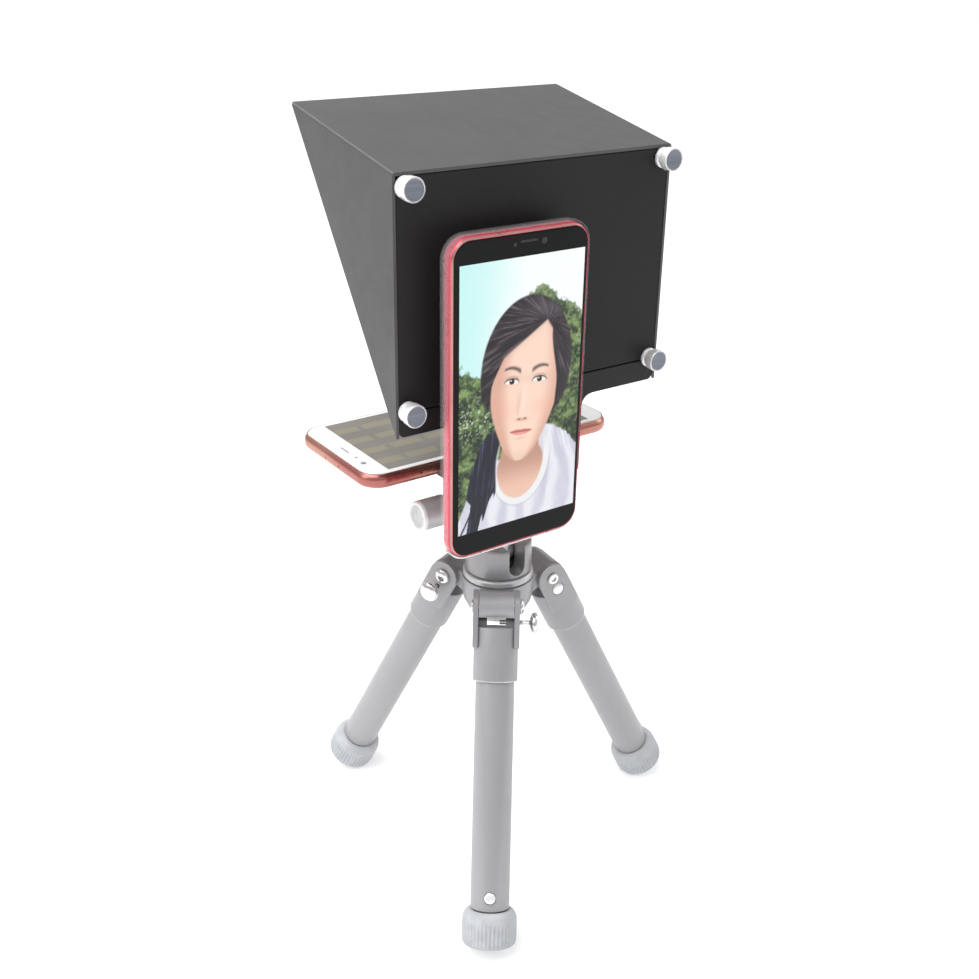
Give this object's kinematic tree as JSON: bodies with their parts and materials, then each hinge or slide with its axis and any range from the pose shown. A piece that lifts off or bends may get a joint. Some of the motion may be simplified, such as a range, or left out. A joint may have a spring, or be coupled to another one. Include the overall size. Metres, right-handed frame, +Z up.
{
  "type": "teleprompter",
  "caption": "Phone teleprompter: a folded hood with a tilted beam-splitter glass over a display phone, a camera phone behind it, on a clamp, ball head and folding tripod.",
  "frame": {"origin": "on the floor, under the middle of the overall box", "axes": "+Z up, -Y towards the presenter and the open side of the hood, +Y towards the operator and the camera phone, +X to the operator's left when facing the hood's rear panel"},
  "size_m": [0.1952, 0.207, 0.4074],
  "materials": {
    "hood_paint": "black powder coat, fine satin",
    "panel_black": "black acrylic, semi-gloss",
    "bracket_black": "black powder coat on bent sheet",
    "prompter_glass": "beam-splitter coating on float glass",
    "foam_black": "black closed-cell foam",
    "thumbscrew_steel": "turned face, bright rims",
    "tripod_grey": "light grey, satin",
    "tripod_dark": "grey, satin",
    "foot_rubber": "ribbed grey rubber",
    "bright_steel": "polished",
    "rose_metal": "rose anodised",
    "red_metal": "red anodised",
    "screen_black": "cover glass over a black border",
    "screen_white": "cover glass over a white border",
    "clear_case": "clear soft plastic",
    "pad_rubber": "black rubber"
  },
  "bodies": {
    "tripod": {"spider": "tripod_grey", "pan_base": "tripod_grey"},
    "head": {"ball_housing": "tripod_grey", "friction_cup": "pad_rubber", "pan_bolt": "bright_steel"},
    "ball_lock": {"ball_lock_knob": "tripod_dark"},
    "ball": {"ball_stem": "bright_steel", "clamp_body": "tripod_dark"},
    "jaw": {"clamp_jaw": "tripod_dark"},
    "clamp_screw": {"clamp_knob": "tripod_dark"},
    "platform": {"dovetail_plate": "tripod_dark", "plate_screw": "bright_steel", "base_bracket": "bracket_black", "hood_shell": "hood_paint", "rear_panel": "panel_black", "glass_pane": "prompter_glass", "glass_frame": "foam_black", "lens_seal": "foam_black", "tray_pad": "pad_rubber"},
    "screw_top_left": {"thumbscrew_top_left": "thumbscrew_steel"},
    "screw_top_right": {"thumbscrew_top_right": "thumbscrew_steel"},
    "screw_bottom_left": {"thumbscrew_bottom_left": "thumbscrew_steel"},
    "screw_bottom_right": {"thumbscrew_bottom_right": "thumbscrew_steel"},
    "camera_mount": {"magnet_puck": "bright_steel", "mount_nut": "bright_steel"},
    "camera_phone": {"steel_plate": "bright_steel", "camera_phone_case": "clear_case", "camera_phone_body": "red_metal", "camera_phone_glass": "screen_black", "camera_phone_lens": "screen_black"},
    "camera_power": {"camera_phone_power_button": "red_metal"},
    "camera_volume": {"camera_phone_volume_button": "red_metal"},
    "display_phone": {"display_phone_body": "rose_metal", "display_phone_glass": "screen_white"},
    "display_power": {"display_phone_power_button": "rose_metal"},
    "display_volume": {"display_phone_volume_button": "rose_metal"},
    "leg_1": {"leg_1_fork": "tripod_grey", "leg_1_outer_tube": "tripod_grey", "leg_1_pivot_bolt": "bright_steel", "leg_1_pin_cap": "bright_steel"},
    "leg_1_extension": {"leg_1_inner_tube": "bright_steel", "leg_1_foot": "foot_rubber"},
    "leg_1_pin": {"leg_1_pull_pin": "bright_steel"},
    "leg_1_button": {"leg_1_release_button": "bright_steel"},
    "leg_2": {"leg_2_fork": "tripod_grey", "leg_2_outer_tube": "tripod_grey", "leg_2_pivot_bolt": "bright_steel", "leg_2_pin_cap": "bright_steel"},
    "leg_2_extension": {"leg_2_inner_tube": "bright_steel", "leg_2_foot": "foot_rubber"},
    "leg_2_pin": {"leg_2_pull_pin": "bright_steel"},
    "leg_2_button": {"leg_2_release_button": "bright_steel"},
    "leg_3": {"leg_3_fork": "tripod_grey", "leg_3_outer_tube": "tripod_grey", "leg_3_pivot_bolt": "bright_steel", "leg_3_pin_cap": "bright_steel"},
    "leg_3_extension": {"leg_3_inner_tube": "bright_steel", "leg_3_foot": "foot_rubber"},
    "leg_3_pin": {"leg_3_pull_pin": "bright_steel"},
    "leg_3_button": {"leg_3_release_button": "bright_steel"}
  },
  "joints": [
    {"name": "head_pan", "type": "hinge", "parent": "tripod", "child": "head", "pos_m": [0.01956, 0.0055, 0.1674], "axis": [0, 0, 1], "continuous": true},
    {"name": "ball_lock_turn", "type": "hinge", "parent": "head", "child": "ball_lock", "pos_m": [0.01956, -0.0145, 0.1802], "axis": [0, -1, 0], "range_deg": [0, 540]},
    {"name": "ball_tilt", "type": "hinge", "parent": "head", "child": "ball", "pos_m": [0.01956, 0.0055, 0.1805], "axis": [-1, 0, 0], "range_deg": [-20, 30]},
    {"name": "clamp_jaw_slide", "type": "slide", "parent": "ball", "child": "jaw", "axis": [1, 0, 0], "range_m": [0, 0.003]},
    {"name": "clamp_knob_turn", "type": "hinge", "parent": "jaw", "child": "clamp_screw", "pos_m": [0.05356, 0.0055, 0.2126], "axis": [-1, 0, 0], "range_deg": [0, 1080]},
    {"name": "plate_slide", "type": "slide", "parent": "ball", "child": "platform", "axis": [0, 1, 0], "range_m": [-0.008, 0.008]},
    {"name": "thumbscrew_top_left_turn", "type": "hinge", "parent": "platform", "child": "screw_top_left", "pos_m": [0.09186, 0.0331, 0.3832], "axis": [0, 1, 0], "continuous": true},
    {"name": "thumbscrew_top_right_turn", "type": "hinge", "parent": "platform", "child": "screw_top_right", "pos_m": [-0.05274, 0.0331, 0.3832], "axis": [0, 1, 0], "continuous": true},
    {"name": "thumbscrew_bottom_left_turn", "type": "hinge", "parent": "platform", "child": "screw_bottom_left", "pos_m": [0.09186, 0.0331, 0.2827], "axis": [0, 1, 0], "continuous": true},
    {"name": "thumbscrew_bottom_right_turn", "type": "hinge", "parent": "platform", "child": "screw_bottom_right", "pos_m": [-0.05274, 0.0331, 0.2827], "axis": [0, 1, 0], "continuous": true},
    {"name": "camera_mount_slide", "type": "slide", "parent": "platform", "child": "camera_mount", "axis": [1, 0, 0], "range_m": [-0.009, 0.009]},
    {"name": "camera_phone_turn", "type": "hinge", "parent": "camera_mount", "child": "camera_phone", "pos_m": [0.02356, 0.0416, 0.25], "axis": [0, 1, 0], "range_deg": [-90, 90]},
    {"name": "camera_power_press", "type": "slide", "parent": "camera_phone", "child": "camera_power", "axis": [1, 0, 0], "range_m": [0, 0.0004]},
    {"name": "camera_volume_press", "type": "slide", "parent": "camera_phone", "child": "camera_volume", "axis": [1, 0, 0], "range_m": [0, 0.0004]},
    {"name": "display_phone_slide", "type": "slide", "parent": "platform", "child": "display_phone", "axis": [1, 0, 0], "range_m": [-0.02, 0.02]},
    {"name": "display_power_press", "type": "slide", "parent": "display_phone", "child": "display_power", "axis": [0, 1, 0], "range_m": [0, 0.0004]},
    {"name": "display_volume_press", "type": "slide", "parent": "display_phone", "child": "display_volume", "axis": [0, 1, 0], "range_m": [0, 0.0004]},
    {"name": "leg_1_fold", "type": "hinge", "parent": "tripod", "child": "leg_1", "pos_m": [0.03582, 0.0278, 0.1607], "axis": [0.808, -0.5892, 0], "range_deg": [-24, 30]},
    {"name": "leg_1_extend", "type": "slide", "parent": "leg_1", "child": "leg_1_extension", "axis": [0.2657, 0.3643, -0.8926], "range_m": [0, 0.06]},
    {"name": "leg_1_pin_pull", "type": "slide", "parent": "leg_1", "child": "leg_1_pin", "axis": [-0.808, 0.5892, 0], "range_m": [0, 0.005]},
    {"name": "leg_1_button_press", "type": "slide", "parent": "leg_1", "child": "leg_1_button", "axis": [-0.5259, -0.7212, -0.4509], "range_m": [0, 0.001]},
    {"name": "leg_2_fold", "type": "hinge", "parent": "tripod", "child": "leg_2", "pos_m": [-0.00788, 0.00843, 0.1607], "axis": [0.1063, 0.9943, 0], "range_deg": [-24, 30]},
    {"name": "leg_2_extend", "type": "slide", "parent": "leg_2", "child": "leg_2_extension", "axis": [-0.4483, 0.0479, -0.8926], "range_m": [0, 0.06]},
    {"name": "leg_2_pin_pull", "type": "slide", "parent": "leg_2", "child": "leg_2_pin", "axis": [-0.1063, -0.9943, 0], "range_m": [0, 0.005]},
    {"name": "leg_2_button_press", "type": "slide", "parent": "leg_2", "child": "leg_2_button", "axis": [0.8875, -0.0948, -0.4509], "range_m": [0, 0.001]},
    {"name": "leg_3_fold", "type": "hinge", "parent": "tripod", "child": "leg_3", "pos_m": [0.03074, -0.01973, 0.1607], "axis": [-0.9143, -0.4051, 0], "range_deg": [-24, 30]},
    {"name": "leg_3_extend", "type": "slide", "parent": "leg_3", "child": "leg_3_extension", "axis": [0.1827, -0.4122, -0.8926], "range_m": [0, 0.06]},
    {"name": "leg_3_pin_pull", "type": "slide", "parent": "leg_3", "child": "leg_3_pin", "axis": [0.9143, 0.4051, 0], "range_m": [0, 0.005]},
    {"name": "leg_3_button_press", "type": "slide", "parent": "leg_3", "child": "leg_3_button", "axis": [-0.3616, 0.8161, -0.4509], "range_m": [0, 0.001]}
  ],
  "couplings": [
    {"joint": "clamp_knob_turn", "follows": "clamp_jaw_slide", "rad_per_m": 6283.2}
  ]
}
